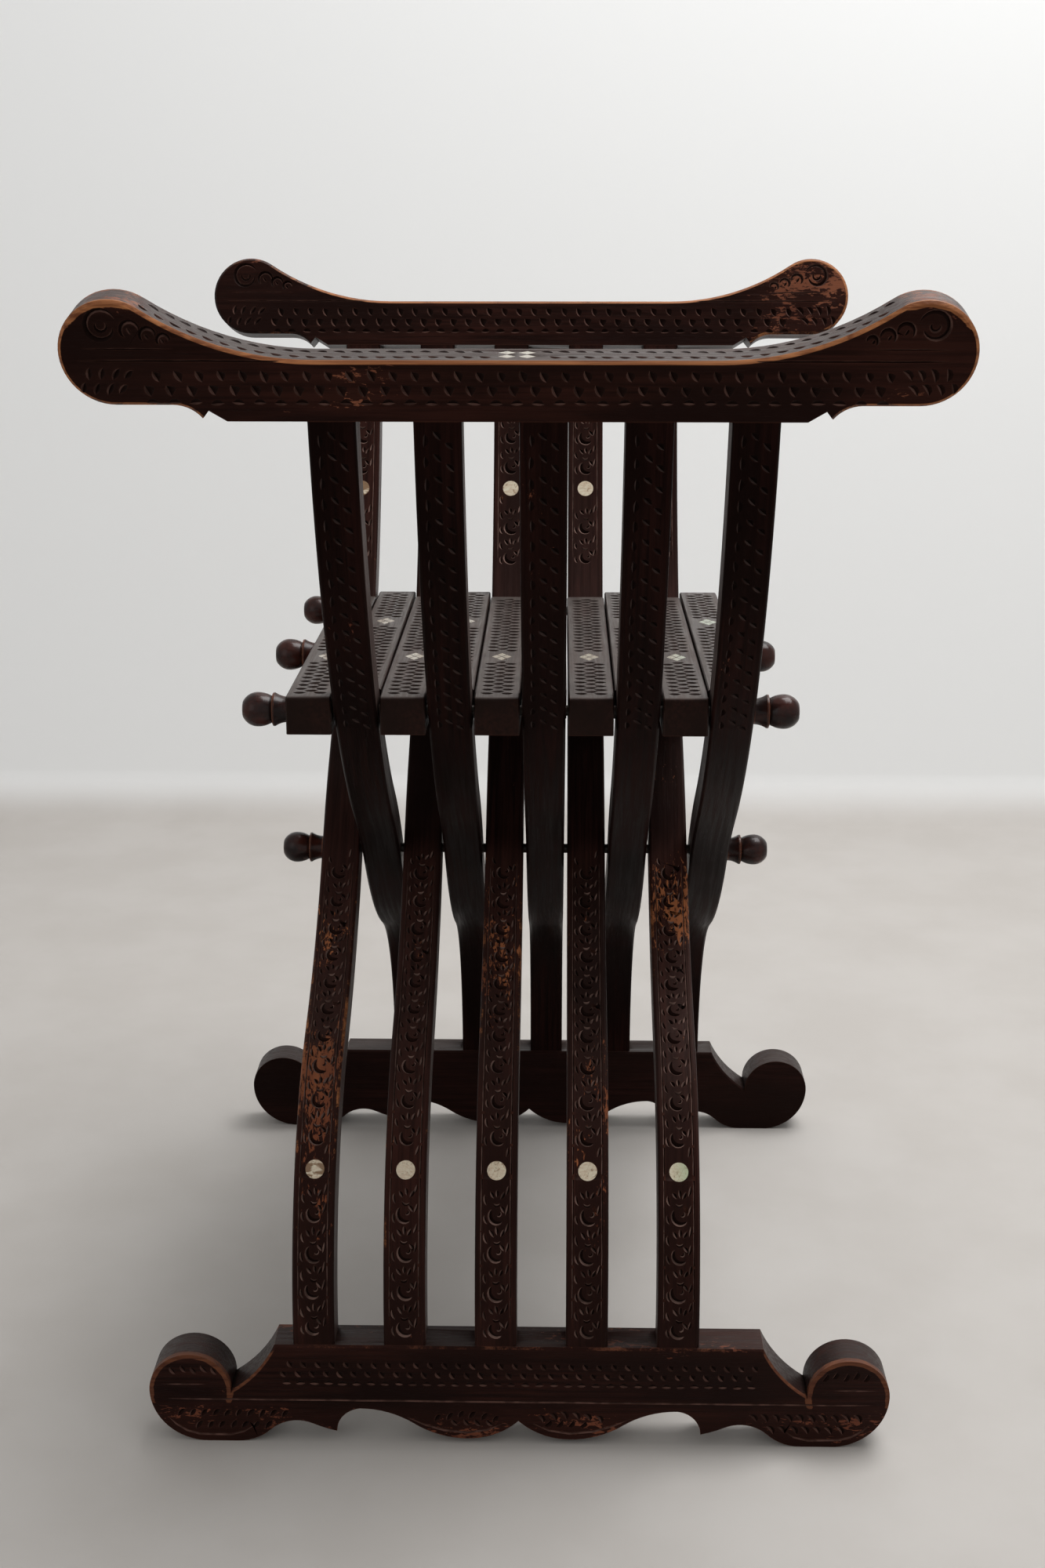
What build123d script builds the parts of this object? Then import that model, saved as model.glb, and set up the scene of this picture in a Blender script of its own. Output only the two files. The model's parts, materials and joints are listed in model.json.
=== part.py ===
from build123d import *
import math
import os

# Folding curule chair. Two frames of curved slats cross on one long rod, scissor fashion.
# Each frame carries an arm above and a foot below, on opposite sides of the chair.
# Two leaves of seat slats hinge on the frames and lie between each other's slats.
# Millimetres and degrees. X runs along the arms, Y from arm to arm, Z up from the floor.
# The origin is on the floor under the middle of the main rod.
# The right side is at -Y and the left at +Y. The right frame has the right arm and left foot.

right = -1
left = 1
rear = -1
front = 1

# Slats of the two frames
slat_count = 5
slat_width = 24.4
slat_depth = 21.5
slat_edge_round = 1.2
pivot_height = 297.0
pivot_sink_angle = 2.8

# Upper half of a slat, from the main rod up and out to the arm
arm_reach = 225.0
arm_height = 601.0
upper_waist_sink_angle = 18.5
arm_rise_angle = 23.5

# Lower half of a slat, from the main rod down and out to the foot
foot_reach = 208.5
foot_height = 64.4
lower_waist_sink_angle = 23.1

# Tenons that hold the slats in arm and foot
tenon_width = 16.0
tenon_depth = 11.0
tenon_length = 18.0
tenon_play = 0.1
mortise_floor_play = 0.6

# Arms, each scroll set out from the outermost slat
arm_overhang = 94.35
arm_depth = 22.0
arm_waist = 31.0
arm_slope_run = 99.3
arm_lobe_radius = 26.5
arm_lobe_height = 34.5
arm_sole_margin = 13.05
arm_notch_run = 9.0
arm_notch_height = 5.5
arm_cusp_run = 3.5
arm_cusp_height = 1.0
arm_lip_run = 14.5
arm_edge_round = 1.6

# Feet, each lobe set out from the outermost slat
foot_overhang = 85.35
foot_depth = 24.0
foot_shoulder_margin = 10.85
foot_neck_sag = 3.0
foot_lobe_radius = 24.0
foot_lobe_height = 33.5
foot_pad_length = 17.3
foot_heel_run = 20.0
foot_heel_height = 8.0
foot_cusp_run = 25.0
foot_cusp_height = 12.2
foot_pendant_run = 14.0
foot_pendant_height = 7.4
foot_arch_run = 14.0
foot_arch_height = 22.7
foot_apron_half = 30.0
foot_apron_height = 3.2
foot_middle_cusp_height = 15.3
foot_edge_round = 1.2

# Seat leaves
seat_height = 437.0
seat_slat_extra_width = 1.1
seat_slat_gap = 1.0
seat_slat_depth = 22.0
seat_overhang = 14.5
seat_nose_round = 2.5
seat_edge_round = 0.8
seat_end_gap = 0.6

# Rods and their turned knobs
rod_diameter = 6.0
running_clearance = 0.05
end_play = 0.3
knob_neck_diameter = 14.6
knob_collar_length = 7.4
knob_rim_diameter = 19.2
knob_rim_thickness = 1.0
knob_groove_diameter = 15.2
knob_groove_width = 0.9
knob_ball_diameter = 19.7
knob_ball_rise_length = 8.0
knob_ball_fall_length = 8.4
knob_end_flat_diameter = 9.6
knob_bore_depth = 13.0
knob_bore_play = 0.6

# Mother-of-pearl inlay
disc_diameter = 11.0
inlay_depth = 1.5
inlay_play = 0.1
disc_drop_from_arm = 99.5
disc_rise_from_foot = 91.6
seat_lozenge_place = 52.0
seat_tile_length = 10.2
seat_tile_width = 6.4
arm_tile_length = 10.0
arm_tile_width = 6.0
tile_joint = 0.7

overrun = 1.0

slat_half = slat_width / 2
seat_slat_width = slat_width + seat_slat_extra_width
slat_pitch = 2 * (seat_slat_width + seat_slat_gap)
depth_half = slat_depth / 2
seat_middle_height = seat_height - seat_slat_depth / 2
upper_disc_height = arm_height - disc_drop_from_arm
lower_disc_height = foot_height + disc_rise_from_foot
hole_radius = rod_diameter / 2 + running_clearance
outer_slat_place = (slat_count - 1) * slat_pitch / 2 + slat_pitch / 4
seat_end_face = outer_slat_place + seat_slat_width / 2
slat_end_face = outer_slat_place + slat_half
arm_half = slat_end_face + arm_overhang
foot_half = slat_end_face + foot_overhang
upright_angle = 90


def sine(lean):
    return math.sin(math.radians(lean))


def cosine(lean):
    return math.cos(math.radians(lean))


def lean_of(reach, rise):
    """Lean from level of the straight line from the main rod to a half's end."""
    return math.degrees(math.atan2(rise, reach))


upper_rise = arm_height - pivot_height
lower_rise = pivot_height - foot_height
upper_line_lean = lean_of(arm_reach, upper_rise)
lower_line_lean = lean_of(foot_reach, lower_rise)
pivot_lean = (upper_line_lean + lower_line_lean) / 2 - pivot_sink_angle
upper_waist_lean = upper_line_lean - upper_waist_sink_angle
lower_waist_lean = lower_line_lean - lower_waist_sink_angle
arm_lean = upper_line_lean + arm_rise_angle
foot_lean = upright_angle


def slat_radii(reach, rise, waist_lean, end_lean):
    """Radii of a half's two tangent arcs, which start at the main rod and end at reach and rise."""
    inner_reach = sine(pivot_lean) - sine(waist_lean)
    inner_rise = cosine(waist_lean) - cosine(pivot_lean)
    outer_reach = sine(end_lean) - sine(waist_lean)
    outer_rise = cosine(waist_lean) - cosine(end_lean)
    scale = inner_reach * outer_rise - outer_reach * inner_rise
    waist = (reach * outer_rise - rise * outer_reach) / scale
    sweep_arc = (rise * inner_reach - reach * inner_rise) / scale
    return waist, sweep_arc


upper_waist, upper_sweep = slat_radii(arm_reach, upper_rise, upper_waist_lean, arm_lean)
lower_waist, lower_sweep = slat_radii(foot_reach, lower_rise, lower_waist_lean, foot_lean)


def point_on_half(rise, waist, sweep_arc, waist_lean, shift):
    """Reach and lean of a half where it is this far from the main rod, shifted to its hollow side."""
    waist_rise = (waist + shift) * cosine(waist_lean) - waist * cosine(pivot_lean)
    if rise < waist_rise:
        lean = math.degrees(math.acos((rise + waist * cosine(pivot_lean)) / (waist + shift)))
        return waist * sine(pivot_lean) - (waist + shift) * sine(lean), lean
    centre_rise = waist * (cosine(waist_lean) - cosine(pivot_lean)) + sweep_arc * cosine(waist_lean)
    centre_reach = waist * (sine(pivot_lean) - sine(waist_lean)) - sweep_arc * sine(waist_lean)
    radius = sweep_arc - shift
    lean = math.degrees(math.acos((centre_rise - rise) / radius))
    return centre_reach + radius * sine(lean), lean


def upper_point(height, shift=0):
    """Reach and lean of a slat's upper half at this height."""
    return point_on_half(height - pivot_height, upper_waist, upper_sweep, upper_waist_lean, shift)


def lower_point(height, shift=0):
    """Reach and lean of a slat's lower half at this height."""
    return point_on_half(pivot_height - height, lower_waist, lower_sweep, lower_waist_lean, shift)


hinge_reach, hinge_lean = upper_point(seat_middle_height)
upper_disc_reach, upper_disc_lean = upper_point(upper_disc_height)
lower_disc_reach, lower_disc_lean = lower_point(lower_disc_height)


def slat_place(side, index):
    """X of a slat's middle. The right frame's slats are a quarter pitch one way, the left's the other."""
    return (index - (slat_count - 1) / 2) * slat_pitch - side * slat_pitch / 4


def fold_plane(side, place):
    """Upright plane across the chair. Its x points out to that side's arm and its y up."""
    return Plane(origin=(place, 0, 0), x_dir=(0, side, 0), z_dir=(side, 0, 0))


def along_x(place, out, height, facing):
    """Plane square to the rods, with its z along X the way it faces."""
    return Plane(origin=(place, out, height), x_dir=(0, 1, 0), z_dir=(facing, 0, 0))


def slat_side(shift):
    """One long side of a slat, shifted from the middle line. Positive is the upper, inner side."""
    start = (-shift * sine(pivot_lean), pivot_height + shift * cosine(pivot_lean))
    rising = (cosine(pivot_lean), sine(pivot_lean))
    falling = (-cosine(pivot_lean), -sine(pivot_lean))
    turn_to_upper = upper_waist_lean - pivot_lean
    turn_to_lower = lower_waist_lean - pivot_lean
    low = JernArc(start, falling, lower_waist - shift, turn_to_lower)
    low_end = JernArc(low @ 1, low % 1, lower_sweep + shift, foot_lean - lower_waist_lean)
    high = JernArc(start, rising, upper_waist + shift, turn_to_upper)
    high_end = JernArc(high @ 1, high % 1, upper_sweep - shift, arm_lean - upper_waist_lean)
    return low_end @ 1, high_end @ 1


def arm_seat_plane(side, place):
    """Plane on an arm's sole, facing up the slats' ends."""
    origin = (place, side * arm_reach, arm_height)
    return Plane(origin=origin, x_dir=(1, 0, 0), z_dir=(0, side * cosine(arm_lean), sine(arm_lean)))


def foot_seat_plane(side, place):
    """Plane on the top of the foot under this frame, facing down."""
    return Plane(origin=(place, -side * foot_reach, foot_height), x_dir=(1, 0, 0), z_dir=(0, 0, -1))


def upper_disc_plane(side, place):
    """Plane on a slat's upper inner face, facing into the chair."""
    out = upper_disc_reach - depth_half * sine(upper_disc_lean)
    height = upper_disc_height + depth_half * cosine(upper_disc_lean)
    facing = (0, -side * sine(upper_disc_lean), cosine(upper_disc_lean))
    return Plane(origin=(place, side * out, height), x_dir=(1, 0, 0), z_dir=facing)


def lower_disc_plane(side, place):
    """Plane on a slat's lower outer face, facing out of the chair."""
    out = lower_disc_reach + depth_half * sine(lower_disc_lean)
    height = lower_disc_height + depth_half * cosine(lower_disc_lean)
    facing = (0, -side * sine(lower_disc_lean), cosine(lower_disc_lean))
    return Plane(origin=(place, -side * out, height), x_dir=(1, 0, 0), z_dir=facing)


def seat_tile_centres():
    """Middles of the four tiles that make a lozenge on a seat slat, longer from arm to arm."""
    return [
        (0, seat_tile_length / 2),
        (0, -seat_tile_length / 2),
        (seat_tile_width / 2, 0),
        (-seat_tile_width / 2, 0),
    ]


def draw_tile(along_x, along_y, growth):
    """Rhombus with these diagonals, less the joint beside it and with this much growth all round."""
    spread = growth - tile_joint / 2
    half_x = along_x / 2 + spread * math.hypot(along_x, along_y) / along_y
    half_y = along_y / 2 + spread * math.hypot(along_x, along_y) / along_x
    Polygon((half_x, 0), (0, half_y), (-half_x, 0), (0, -half_y))


def frame_slat(side, index):
    """Curved slat of a frame, with a tenon at each end, its rod holes and two disc recesses."""
    place = slat_place(side, index)
    disc_planes = [upper_disc_plane(side, place), lower_disc_plane(side, place)]
    with BuildPart() as slat:
        with BuildSketch(fold_plane(side, place)):
            with BuildLine():
                inner_low, inner_high = slat_side(depth_half)
                outer_low, outer_high = slat_side(-depth_half)
                Line(inner_low, outer_low)
                Line(inner_high, outer_high)
            make_face()
        extrude(amount=slat_half, both=True)
        chamfer(slat.edges().filter_by(GeomType.CIRCLE), length=slat_edge_round)
        with BuildSketch(fold_plane(side, place)):
            with Locations((0, pivot_height), (hinge_reach, seat_middle_height)):
                Circle(hole_radius)
        extrude(amount=slat_width, both=True, mode=Mode.SUBTRACT)
        with BuildSketch(arm_seat_plane(side, place), foot_seat_plane(side, place)):
            Rectangle(tenon_width, tenon_depth)
        extrude(amount=tenon_length)
        with BuildSketch(*disc_planes):
            Circle(disc_diameter / 2 + inlay_play)
        extrude(amount=-inlay_depth, mode=Mode.SUBTRACT)
        with BuildSketch(*disc_planes):
            Circle(disc_diameter / 2 + inlay_play)
        extrude(amount=overrun, mode=Mode.SUBTRACT)
    return slat.part


def frame_discs(side):
    """Mother-of-pearl discs of a frame, one high and one low on each slat, flush in their recesses."""
    places = [slat_place(side, index) for index in range(slat_count)]
    uppers = [upper_disc_plane(side, place).offset(-inlay_depth) for place in places]
    lowers = [lower_disc_plane(side, place).offset(-inlay_depth) for place in places]
    with BuildPart() as discs:
        with BuildSketch(*uppers, *lowers):
            Circle(disc_diameter / 2)
        extrude(amount=inlay_depth)
    return discs.part


def arm_half_outline():
    """Half of an arm's outline, from the middle of its top to the middle of its sole."""
    lobe_place = arm_half - arm_lobe_radius
    step = arm_waist - arm_lobe_height
    span = arm_slope_run**2 + step**2 - arm_lobe_radius**2
    hollow = span / (2 * (arm_lobe_radius - step))
    turn = math.degrees(math.asin(arm_slope_run / (hollow + arm_lobe_radius)))
    lobe_foot = arm_lobe_height - arm_lobe_radius
    sole_end = slat_end_face + arm_sole_margin
    notch_place = sole_end + arm_notch_run
    cusp_place = notch_place + arm_cusp_run
    top = Line((0, arm_waist), (lobe_place - arm_slope_run, arm_waist))
    slope = JernArc(top @ 1, top % 1, hollow, turn)
    lobe = JernArc(slope @ 1, slope % 1, arm_lobe_radius, -turn - 180)
    lip = Line(lobe @ 1, (cusp_place + arm_lip_run, lobe_foot))
    fall = TangentArc(lip @ 1, (cusp_place, arm_cusp_height), tangent=lip % 1)
    notch = Line(fall @ 1, (notch_place, arm_notch_height))
    back = Line(notch @ 1, (sole_end, 0))
    Line(back @ 1, (0, 0))
    mirror(about=Plane.YZ)


def arm_plane(side):
    """Plane in the middle of an arm's board. Its x is along the arm and its y up the leaning board."""
    origin = (0, side * arm_reach, arm_height)
    return Plane(origin=origin, x_dir=(1, 0, 0), z_dir=(0, -sine(arm_lean), side * cosine(arm_lean)))


def arm_top_plane(side):
    """Plane on the middle of an arm's top."""
    out = side * (arm_reach + arm_waist * cosine(arm_lean))
    height = arm_height + arm_waist * sine(arm_lean)
    facing = (0, side * cosine(arm_lean), sine(arm_lean))
    return Plane(origin=(0, out, height), x_dir=(1, 0, 0), z_dir=facing)


def arm_board(side):
    """Arm with scrolled ends, its mortises underneath and the inlay recesses on top."""
    places = [slat_place(side, index) for index in range(slat_count)]
    with BuildPart() as arm:
        with BuildSketch(arm_plane(side)):
            with BuildLine():
                arm_half_outline()
            make_face()
        extrude(amount=arm_depth / 2, both=True)
        across = Axis((0, 0, 0), arm_plane(side).z_dir)
        rims = arm.faces().filter_by(across).edges()
        upper_rims = rims.filter_by(lambda rim: rim.center().Z > arm_height + arm_lobe_height / 2)
        chamfer(upper_rims, length=arm_edge_round)
        with BuildSketch(*[arm_seat_plane(side, place) for place in places]):
            Rectangle(tenon_width + 2 * tenon_play, tenon_depth + 2 * tenon_play)
        extrude(amount=tenon_length + mortise_floor_play, mode=Mode.SUBTRACT)
        with BuildSketch(arm_top_plane(side)):
            with GridLocations(arm_tile_length, arm_tile_width, 2, 2):
                draw_tile(arm_tile_length, arm_tile_width, inlay_play)
        extrude(amount=-inlay_depth, mode=Mode.SUBTRACT)
    return arm.part


def arm_inlay(side):
    """Four mother-of-pearl tiles in the top of an arm."""
    with BuildPart() as tiles:
        with BuildSketch(arm_top_plane(side).offset(-inlay_depth)):
            with GridLocations(arm_tile_length, arm_tile_width, 2, 2):
                draw_tile(arm_tile_length, arm_tile_width, 0)
        extrude(amount=inlay_depth)
    return tiles.part


def foot_half_outline():
    """Half of a foot's outline, from the middle of its top to the middle of its scalloped apron."""
    lobe_place = foot_half - foot_lobe_radius
    lobe_start = (lobe_place - foot_lobe_radius, foot_lobe_height)
    lobe_top = (lobe_place, foot_lobe_height + foot_lobe_radius)
    lobe_end = (foot_half, foot_lobe_height)
    pad_end = foot_half - foot_lobe_height - foot_pad_length
    heel_place = pad_end - foot_heel_run
    cusp_place = heel_place - foot_cusp_run
    pendant_place = cusp_place - foot_pendant_run
    arch_place = pendant_place - foot_arch_run
    bay = ((arch_place + foot_apron_half) / 2, (foot_arch_height + foot_apron_height) / 2)
    top = Line((0, foot_height), (slat_end_face + foot_shoulder_margin, foot_height))
    neck = SagittaArc(top @ 1, lobe_start, -foot_neck_sag)
    lobe = ThreePointArc(neck @ 1, lobe_top, lobe_end)
    toe = JernArc(lobe @ 1, lobe % 1, foot_lobe_height, -90)
    pad = Line(toe @ 1, (pad_end, 0))
    heel = TangentArc(pad @ 1, (heel_place, foot_heel_height), tangent=pad % 1)
    cusp = TangentArc(heel @ 1, (cusp_place, foot_cusp_height), tangent=heel % 1)
    pendant = TangentArc(cusp @ 1, (pendant_place, foot_pendant_height), tangent=cusp % 1)
    spring = TangentArc(pendant @ 1, (arch_place, foot_arch_height), tangent=(0, 1))
    fall = TangentArc(spring @ 1, bay, tangent=(-1, 0))
    apron = TangentArc(fall @ 1, (foot_apron_half, foot_apron_height), tangent=fall % 1)
    TangentArc(apron @ 1, (0, foot_middle_cusp_height), tangent=(-1, 0))
    mirror(about=Plane.YZ)


def foot_board(side):
    """Foot under one frame, with lobed ends, a scalloped apron and its mortises on top."""
    places = [slat_place(side, index) for index in range(slat_count)]
    board_plane = Plane(origin=(0, -side * foot_reach, 0), x_dir=(1, 0, 0), z_dir=(0, -1, 0))
    with BuildPart() as foot:
        with BuildSketch(board_plane):
            with BuildLine():
                foot_half_outline()
            make_face()
        extrude(amount=foot_depth / 2, both=True)
        rims = foot.faces().filter_by(Axis.Y).edges()
        within_lobes = foot_half - 2 * foot_lobe_radius
        upper_rims = rims.filter_by(lambda rim: rim.center().Z > foot_lobe_height)
        shoulder_rims = upper_rims.filter_by(lambda rim: abs(rim.center().X) < within_lobes)
        chamfer(shoulder_rims, length=foot_edge_round)
        with BuildSketch(*[foot_seat_plane(side, place) for place in places]):
            Rectangle(tenon_width + 2 * tenon_play, tenon_depth + 2 * tenon_play)
        extrude(amount=tenon_length + mortise_floor_play, mode=Mode.SUBTRACT)
    return foot.part


def seat_plane(side, place):
    """Plane on top of a seat slat, over its lozenge. Its y runs from arm to arm."""
    return Plane(origin=(place, side * seat_lozenge_place, seat_height), x_dir=(1, 0, 0), z_dir=(0, 0, 1))


def seat_slat(side, index):
    """Seat slat hinged on this side's frame. Its far end follows the hollow of the slat it lies against."""
    place = slat_place(-side, index)
    bottom = seat_height - seat_slat_depth
    outer_end = hinge_reach + seat_overhang
    heights = (seat_height, seat_middle_height, bottom)
    far_end = [(-upper_point(height, depth_half + seat_end_gap)[0], height) for height in heights]
    with BuildPart() as slat:
        with BuildSketch(fold_plane(side, place)) as outline:
            with BuildLine():
                Polyline(far_end[0], (outer_end, seat_height), (outer_end, bottom), far_end[2])
                ThreePointArc(far_end[2], far_end[1], far_end[0])
            make_face()
            nose = outline.vertices().group_by(Axis.Y)[-1].sort_by(Axis.X)[-1]
            fillet(nose, radius=seat_nose_round)
            with Locations((hinge_reach, seat_middle_height), (0, seat_middle_height)):
                Circle(hole_radius, mode=Mode.SUBTRACT)
        extrude(amount=seat_slat_width / 2, both=True)
        chamfer(slat.edges().filter_by(Axis.Y).group_by(Axis.Z)[-1], length=seat_edge_round)
        with BuildSketch(seat_plane(side, place)):
            with Locations(*seat_tile_centres()):
                draw_tile(seat_tile_width, seat_tile_length, inlay_play)
        extrude(amount=-inlay_depth, mode=Mode.SUBTRACT)
    return slat.part


def seat_inlay(side):
    """Mother-of-pearl lozenges of a seat leaf, four tiles on each slat."""
    planes = [seat_plane(side, slat_place(-side, index)).offset(-inlay_depth) for index in range(slat_count)]
    with BuildPart() as tiles:
        with BuildSketch(*planes):
            with Locations(*seat_tile_centres()):
                draw_tile(seat_tile_width, seat_tile_length, 0)
        extrude(amount=inlay_depth)
    return tiles.part


def rod(out, height, rear_face, front_face):
    """Rod through the slats at this place, reaching into the knobs beyond their end faces."""
    reach = end_play + knob_bore_depth - knob_bore_play
    with BuildPart() as bar:
        with BuildSketch(along_x(-rear_face - reach, out, height, front)):
            Circle(rod_diameter / 2)
        extrude(amount=rear_face + front_face + 2 * reach)
    return bar.part


def centre_pins(side):
    """Short lengths of the centre rod, one flush in each slat of a leaf. One end reaches into a knob."""
    end_facing = rear if side == right else front
    with BuildPart() as pins:
        for index in range(slat_count):
            rear_face = slat_place(-side, index) - seat_slat_width / 2
            with BuildSketch(along_x(rear_face, 0, seat_middle_height, front)):
                Circle(rod_diameter / 2)
            extrude(amount=seat_slat_width)
        with BuildSketch(along_x(end_facing * seat_end_face, 0, seat_middle_height, end_facing)):
            Circle(rod_diameter / 2)
        extrude(amount=end_play + knob_bore_depth - knob_bore_play)
    return pins.part


def knob(out, height, face, facing):
    """Turned knob on the end of a rod, a hair off the slat's face, with a flared collar and a ball."""
    centre = (facing * (face + end_play), out, height)
    groove_place = knob_collar_length + knob_rim_thickness
    ball_place = groove_place + knob_groove_width
    crown_place = ball_place + knob_ball_rise_length
    end_place = crown_place + knob_ball_fall_length
    with BuildPart() as turning:
        with BuildSketch(Plane(origin=centre, x_dir=(facing, 0, 0), z_dir=(0, -facing, 0))):
            with BuildLine():
                neck = Line((0, 0), (0, knob_neck_diameter / 2))
                collar_edge = (knob_collar_length, knob_rim_diameter / 2)
                collar = TangentArc(neck @ 1, collar_edge, tangent=(1, 0))
                rim = Line(collar @ 1, (groove_place, knob_rim_diameter / 2))
                groove = Line(rim @ 1, (ball_place, knob_groove_diameter / 2))
                crown = (crown_place, knob_ball_diameter / 2)
                TangentArc(crown, groove @ 1, tangent=(-1, 0))
                fall = TangentArc(crown, (end_place, knob_end_flat_diameter / 2), tangent=(1, 0))
                end = Line(fall @ 1, (end_place, 0))
                Line(end @ 1, neck @ 0)
            make_face()
        revolve(axis=Axis(centre, (1, 0, 0)))
        with BuildSketch(Plane(origin=centre, x_dir=(0, 1, 0), z_dir=(facing, 0, 0))):
            Circle(hole_radius)
        extrude(amount=knob_bore_depth, mode=Mode.SUBTRACT)
    return turning.part


def save(piece, name):
    """Label a finished piece and write it under that name."""
    piece.label = name
    export_step(piece, f"parts/{name}.step")


os.makedirs("parts", exist_ok=True)

# Frames. The right frame leans from the right arm to the left foot, the left frame the other way.
for side, side_name, foot_name in ((right, "right", "left"), (left, "left", "right")):
    save(arm_board(side), f"{side_name}_arm")
    save(foot_board(side), f"{foot_name}_foot")
    for index in range(slat_count):
        save(frame_slat(side, index), f"{side_name}_frame_slat_{index + 1}")
        save(seat_slat(side, index), f"{side_name}_seat_slat_{index + 1}")
    save(frame_discs(side), f"{side_name}_frame_discs")
    save(seat_inlay(side), f"{side_name}_seat_inlay")
    save(arm_inlay(side), f"{side_name}_arm_inlay")
    save(centre_pins(side), f"centre_rod_{side_name}_pins")

# Rods. Each one ends in two knobs, on whichever slats are outermost at its ends.
right_hinge = right * hinge_reach
left_hinge = left * hinge_reach
save(rod(0, pivot_height, slat_end_face, slat_end_face), "main_rod")
save(rod(right_hinge, seat_middle_height, seat_end_face, slat_end_face), "right_seat_rod")
save(rod(left_hinge, seat_middle_height, slat_end_face, seat_end_face), "left_seat_rod")
save(knob(0, pivot_height, slat_end_face, front), "main_rod_front_knob")
save(knob(0, pivot_height, slat_end_face, rear), "main_rod_rear_knob")
save(knob(right_hinge, seat_middle_height, slat_end_face, front), "right_seat_rod_front_knob")
save(knob(right_hinge, seat_middle_height, seat_end_face, rear), "right_seat_rod_rear_knob")
save(knob(left_hinge, seat_middle_height, seat_end_face, front), "left_seat_rod_front_knob")
save(knob(left_hinge, seat_middle_height, slat_end_face, rear), "left_seat_rod_rear_knob")
save(knob(0, seat_middle_height, seat_end_face, front), "centre_rod_front_knob")
save(knob(0, seat_middle_height, seat_end_face, rear), "centre_rod_rear_knob")
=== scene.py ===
import bpy
import bmesh
import json
import random
from math import asin, atan2, cos, degrees, exp, hypot, pi, radians, sin
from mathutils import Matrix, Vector


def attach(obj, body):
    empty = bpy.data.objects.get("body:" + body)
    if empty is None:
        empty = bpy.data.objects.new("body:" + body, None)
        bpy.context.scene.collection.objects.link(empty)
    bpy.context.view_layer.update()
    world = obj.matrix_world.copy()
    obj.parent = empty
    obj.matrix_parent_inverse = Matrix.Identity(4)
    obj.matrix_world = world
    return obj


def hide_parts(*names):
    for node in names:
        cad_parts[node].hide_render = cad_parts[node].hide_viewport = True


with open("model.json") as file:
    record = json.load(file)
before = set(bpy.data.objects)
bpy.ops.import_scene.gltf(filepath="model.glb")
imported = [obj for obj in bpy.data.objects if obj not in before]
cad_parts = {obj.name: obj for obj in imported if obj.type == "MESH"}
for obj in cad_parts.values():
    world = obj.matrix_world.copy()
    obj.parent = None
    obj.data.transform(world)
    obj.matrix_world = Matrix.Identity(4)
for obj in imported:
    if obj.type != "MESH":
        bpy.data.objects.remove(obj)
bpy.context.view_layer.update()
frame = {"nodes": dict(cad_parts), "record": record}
print("frame loaded")

# The carving is set out in millimetres on each face and turned into the frame's metres.
mm = 0.001
right = -1
left = 1
sideNames = {right: "right", left: "left"}
bodyOf = {}
for bodyName, members in frame["record"]["behaviour"]["bodies"].items():
    for member in members:
        bodyOf[member] = bodyName


# Lines of the frame slats, in millimetres, as they curve from the main rod to arm and foot

slatLine = {
    "count": 5,
    "width": 24.4,
    "depth": 21.5,
    "pitch": 53.0,
    "pivotHeight": 297.0,
    "pivotSink": 2.8,
    "armReach": 225.0,
    "armHeight": 601.0,
    "upperWaistSink": 18.5,
    "armRise": 23.5,
    "footReach": 208.5,
    "footHeight": 64.4,
    "lowerWaistSink": 23.1,
    "upperDisc": 501.5,
    "lowerDisc": 156.0,
    "carvedFrom": 450.0,  # height above which the upper halves are carved
}
upperRise = slatLine["armHeight"] - slatLine["pivotHeight"]
lowerRise = slatLine["pivotHeight"] - slatLine["footHeight"]
upperLean = atan2(upperRise, slatLine["armReach"])
lowerLean = atan2(lowerRise, slatLine["footReach"])
pivotLean = (upperLean + lowerLean) / 2 - radians(slatLine["pivotSink"])
armLean = upperLean + radians(slatLine["armRise"])


def halfLine(reach, rise, waistLean, endLean):
    # Two tangent arcs, the waist and the sweep, that start at the main rod and end at reach and rise
    innerReach = sin(pivotLean) - sin(waistLean)
    innerRise = cos(waistLean) - cos(pivotLean)
    outerReach = sin(endLean) - sin(waistLean)
    outerRise = cos(waistLean) - cos(endLean)
    scale = innerReach * outerRise - outerReach * innerRise
    waist = (reach * outerRise - rise * outerReach) / scale
    sweep = (rise * innerReach - reach * innerRise) / scale
    waistLength = waist * (pivotLean - waistLean)
    return {
        "waist": waist,
        "sweep": sweep,
        "waistLean": waistLean,
        "waistLength": waistLength,
        "length": waistLength + sweep * (endLean - waistLean),
    }


upperWaistLean = upperLean - radians(slatLine["upperWaistSink"])
lowerWaistLean = lowerLean - radians(slatLine["lowerWaistSink"])
upperHalf = halfLine(slatLine["armReach"], upperRise, upperWaistLean, armLean)
lowerHalf = halfLine(slatLine["footReach"], lowerRise, lowerWaistLean, pi / 2)


def halfPoint(half, along):
    # Reach, rise and lean of a half at this length from the main rod
    waist, sweep, waistLean = half["waist"], half["sweep"], half["waistLean"]
    inWaist = along < half["waistLength"]
    lean = pivotLean - along / waist if inWaist else waistLean + (along - half["waistLength"]) / sweep
    waistEnd = lean if inWaist else waistLean
    reach = waist * (sin(pivotLean) - sin(waistEnd))
    rise = waist * (cos(waistEnd) - cos(pivotLean))
    if not inWaist:
        reach += sweep * (sin(lean) - sin(waistLean))
        rise += sweep * (cos(waistLean) - cos(lean))
    return reach, rise, lean


def lastAlong(half, rounds, holds):
    # The greatest length along a half at which this still holds, found by halving
    low, high = 0, half["length"]
    for _ in range(rounds):
        middle = (low + high) / 2
        if holds(middle):
            low = middle
        else:
            high = middle
    return low


def alongAtRise(half, rise):
    return lastAlong(half, 40, lambda along: halfPoint(half, along)[1] < rise)


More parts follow.
